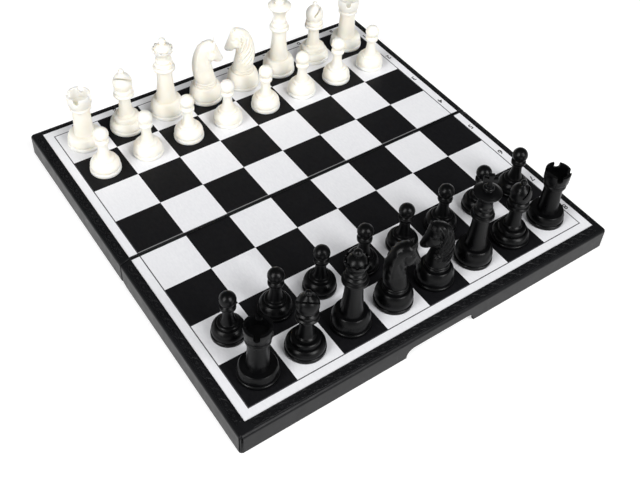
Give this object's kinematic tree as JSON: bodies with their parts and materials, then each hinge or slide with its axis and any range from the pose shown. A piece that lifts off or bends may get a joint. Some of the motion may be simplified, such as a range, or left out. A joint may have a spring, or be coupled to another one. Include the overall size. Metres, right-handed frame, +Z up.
{
  "type": "folding magnetic chess set",
  "caption": "Folding magnetic chess set lying open: two hinged black plastic trays with a printed board on top, and white and black men set up for play.",
  "frame": {"origin": "on the table under the middle of the fold line, at the centre of the open board's outline", "axes": "+X right along the fold line as seen from the black side, +Y from black to white, +Z up"},
  "size_m": [0.32, 0.323, 0.1038],
  "materials": {
    "case_plastic": "satin moulded",
    "printed_sheet": "printed satin film",
    "sheet_steel": "plain sheet",
    "pin_steel": "drawn wire",
    "magnet": "sintered ferrite",
    "white_plastic": "moulded ivory white",
    "black_plastic": "moulded black"
  },
  "bodies": {
    "far_half": {"far_case_half": "case_plastic", "far_steel_plate": "sheet_steel", "far_printed_sheet": "printed_sheet", "left_hinge_pin": "pin_steel", "right_hinge_pin": "pin_steel"},
    "near_half": {"near_case_half": "case_plastic", "near_steel_plate": "sheet_steel", "near_printed_sheet": "printed_sheet"},
    "white_left_rook": {"white_left_rook": "white_plastic", "white_left_rook_magnet": "magnet"},
    "white_left_bishop": {"white_left_bishop": "white_plastic", "white_left_bishop_magnet": "magnet"},
    "white_queen": {"white_queen": "white_plastic", "white_queen_magnet": "magnet"},
    "white_left_knight": {"white_left_knight": "white_plastic", "white_left_knight_magnet": "magnet"},
    "white_right_knight": {"white_right_knight": "white_plastic", "white_right_knight_magnet": "magnet"},
    "white_king": {"white_king": "white_plastic", "white_king_magnet": "magnet"},
    "white_right_bishop": {"white_right_bishop": "white_plastic", "white_right_bishop_magnet": "magnet"},
    "white_right_rook": {"white_right_rook": "white_plastic", "white_right_rook_magnet": "magnet"},
    "white_pawn_1": {"white_pawn_1": "white_plastic"},
    "white_pawn_2": {"white_pawn_2": "white_plastic"},
    "white_pawn_3": {"white_pawn_3": "white_plastic"},
    "white_pawn_4": {"white_pawn_4": "white_plastic"},
    "white_pawn_5": {"white_pawn_5": "white_plastic"},
    "white_pawn_6": {"white_pawn_6": "white_plastic"},
    "white_pawn_7": {"white_pawn_7": "white_plastic"},
    "white_pawn_8": {"white_pawn_8": "white_plastic"},
    "black_left_rook": {"black_left_rook": "black_plastic", "black_left_rook_magnet": "magnet"},
    "black_left_bishop": {"black_left_bishop": "black_plastic", "black_left_bishop_magnet": "magnet"},
    "black_queen": {"black_queen": "black_plastic", "black_queen_magnet": "magnet"},
    "black_left_knight": {"black_left_knight": "black_plastic", "black_left_knight_magnet": "magnet"},
    "black_right_knight": {"black_right_knight": "black_plastic", "black_right_knight_magnet": "magnet"},
    "black_king": {"black_king": "black_plastic", "black_king_magnet": "magnet"},
    "black_right_bishop": {"black_right_bishop": "black_plastic", "black_right_bishop_magnet": "magnet"},
    "black_right_rook": {"black_right_rook": "black_plastic", "black_right_rook_magnet": "magnet"},
    "black_pawn_1": {"black_pawn_1": "black_plastic"},
    "black_pawn_2": {"black_pawn_2": "black_plastic"},
    "black_pawn_3": {"black_pawn_3": "black_plastic"},
    "black_pawn_4": {"black_pawn_4": "black_plastic"},
    "black_pawn_5": {"black_pawn_5": "black_plastic"},
    "black_pawn_6": {"black_pawn_6": "black_plastic"},
    "black_pawn_7": {"black_pawn_7": "black_plastic"},
    "black_pawn_8": {"black_pawn_8": "black_plastic"}
  },
  "joints": [
    {"name": "fold", "type": "hinge", "parent": "far_half", "child": "near_half", "pos_m": [0, 0, 0.0021], "axis": [1, 0, 0], "range_deg": [0, 180]},
    {"name": "lift_white_left_rook", "type": "slide", "parent": "far_half", "child": "white_left_rook", "axis": [0, 0, 1], "range_m": [0, 0.09]},
    {"name": "lift_white_left_bishop", "type": "slide", "parent": "far_half", "child": "white_left_bishop", "axis": [0, 0, 1], "range_m": [0, 0.09]},
    {"name": "lift_white_queen", "type": "slide", "parent": "far_half", "child": "white_queen", "axis": [0, 0, 1], "range_m": [0, 0.09]},
    {"name": "lift_white_left_knight", "type": "slide", "parent": "far_half", "child": "white_left_knight", "axis": [0, 0, 1], "range_m": [0, 0.09]},
    {"name": "lift_white_right_knight", "type": "slide", "parent": "far_half", "child": "white_right_knight", "axis": [0, 0, 1], "range_m": [0, 0.09]},
    {"name": "lift_white_king", "type": "slide", "parent": "far_half", "child": "white_king", "axis": [0, 0, 1], "range_m": [0, 0.09]},
    {"name": "lift_white_right_bishop", "type": "slide", "parent": "far_half", "child": "white_right_bishop", "axis": [0, 0, 1], "range_m": [0, 0.09]},
    {"name": "lift_white_right_rook", "type": "slide", "parent": "far_half", "child": "white_right_rook", "axis": [0, 0, 1], "range_m": [0, 0.09]},
    {"name": "lift_white_pawn_1", "type": "slide", "parent": "far_half", "child": "white_pawn_1", "axis": [0, 0, 1], "range_m": [0, 0.09]},
    {"name": "lift_white_pawn_2", "type": "slide", "parent": "far_half", "child": "white_pawn_2", "axis": [0, 0, 1], "range_m": [0, 0.09]},
    {"name": "lift_white_pawn_3", "type": "slide", "parent": "far_half", "child": "white_pawn_3", "axis": [0, 0, 1], "range_m": [0, 0.09]},
    {"name": "lift_white_pawn_4", "type": "slide", "parent": "far_half", "child": "white_pawn_4", "axis": [0, 0, 1], "range_m": [0, 0.09]},
    {"name": "lift_white_pawn_5", "type": "slide", "parent": "far_half", "child": "white_pawn_5", "axis": [0, 0, 1], "range_m": [0, 0.09]},
    {"name": "lift_white_pawn_6", "type": "slide", "parent": "far_half", "child": "white_pawn_6", "axis": [0, 0, 1], "range_m": [0, 0.09]},
    {"name": "lift_white_pawn_7", "type": "slide", "parent": "far_half", "child": "white_pawn_7", "axis": [0, 0, 1], "range_m": [0, 0.09]},
    {"name": "lift_white_pawn_8", "type": "slide", "parent": "far_half", "child": "white_pawn_8", "axis": [0, 0, 1], "range_m": [0, 0.09]},
    {"name": "lift_black_left_rook", "type": "slide", "parent": "near_half", "child": "black_left_rook", "axis": [0, 0, 1], "range_m": [0, 0.09]},
    {"name": "lift_black_left_bishop", "type": "slide", "parent": "near_half", "child": "black_left_bishop", "axis": [0, 0, 1], "range_m": [0, 0.09]},
    {"name": "lift_black_queen", "type": "slide", "parent": "near_half", "child": "black_queen", "axis": [0, 0, 1], "range_m": [0, 0.09]},
    {"name": "lift_black_left_knight", "type": "slide", "parent": "near_half", "child": "black_left_knight", "axis": [0, 0, 1], "range_m": [0, 0.09]},
    {"name": "lift_black_right_knight", "type": "slide", "parent": "near_half", "child": "black_right_knight", "axis": [0, 0, 1], "range_m": [0, 0.09]},
    {"name": "lift_black_king", "type": "slide", "parent": "near_half", "child": "black_king", "axis": [0, 0, 1], "range_m": [0, 0.09]},
    {"name": "lift_black_right_bishop", "type": "slide", "parent": "near_half", "child": "black_right_bishop", "axis": [0, 0, 1], "range_m": [0, 0.09]},
    {"name": "lift_black_right_rook", "type": "slide", "parent": "near_half", "child": "black_right_rook", "axis": [0, 0, 1], "range_m": [0, 0.09]},
    {"name": "lift_black_pawn_1", "type": "slide", "parent": "near_half", "child": "black_pawn_1", "axis": [0, 0, 1], "range_m": [0, 0.09]},
    {"name": "lift_black_pawn_2", "type": "slide", "parent": "near_half", "child": "black_pawn_2", "axis": [0, 0, 1], "range_m": [0, 0.09]},
    {"name": "lift_black_pawn_3", "type": "slide", "parent": "near_half", "child": "black_pawn_3", "axis": [0, 0, 1], "range_m": [0, 0.09]},
    {"name": "lift_black_pawn_4", "type": "slide", "parent": "near_half", "child": "black_pawn_4", "axis": [0, 0, 1], "range_m": [0, 0.09]},
    {"name": "lift_black_pawn_5", "type": "slide", "parent": "near_half", "child": "black_pawn_5", "axis": [0, 0, 1], "range_m": [0, 0.09]},
    {"name": "lift_black_pawn_6", "type": "slide", "parent": "near_half", "child": "black_pawn_6", "axis": [0, 0, 1], "range_m": [0, 0.09]},
    {"name": "lift_black_pawn_7", "type": "slide", "parent": "near_half", "child": "black_pawn_7", "axis": [0, 0, 1], "range_m": [0, 0.09]},
    {"name": "lift_black_pawn_8", "type": "slide", "parent": "near_half", "child": "black_pawn_8", "axis": [0, 0, 1], "range_m": [0, 0.09]}
  ]
}
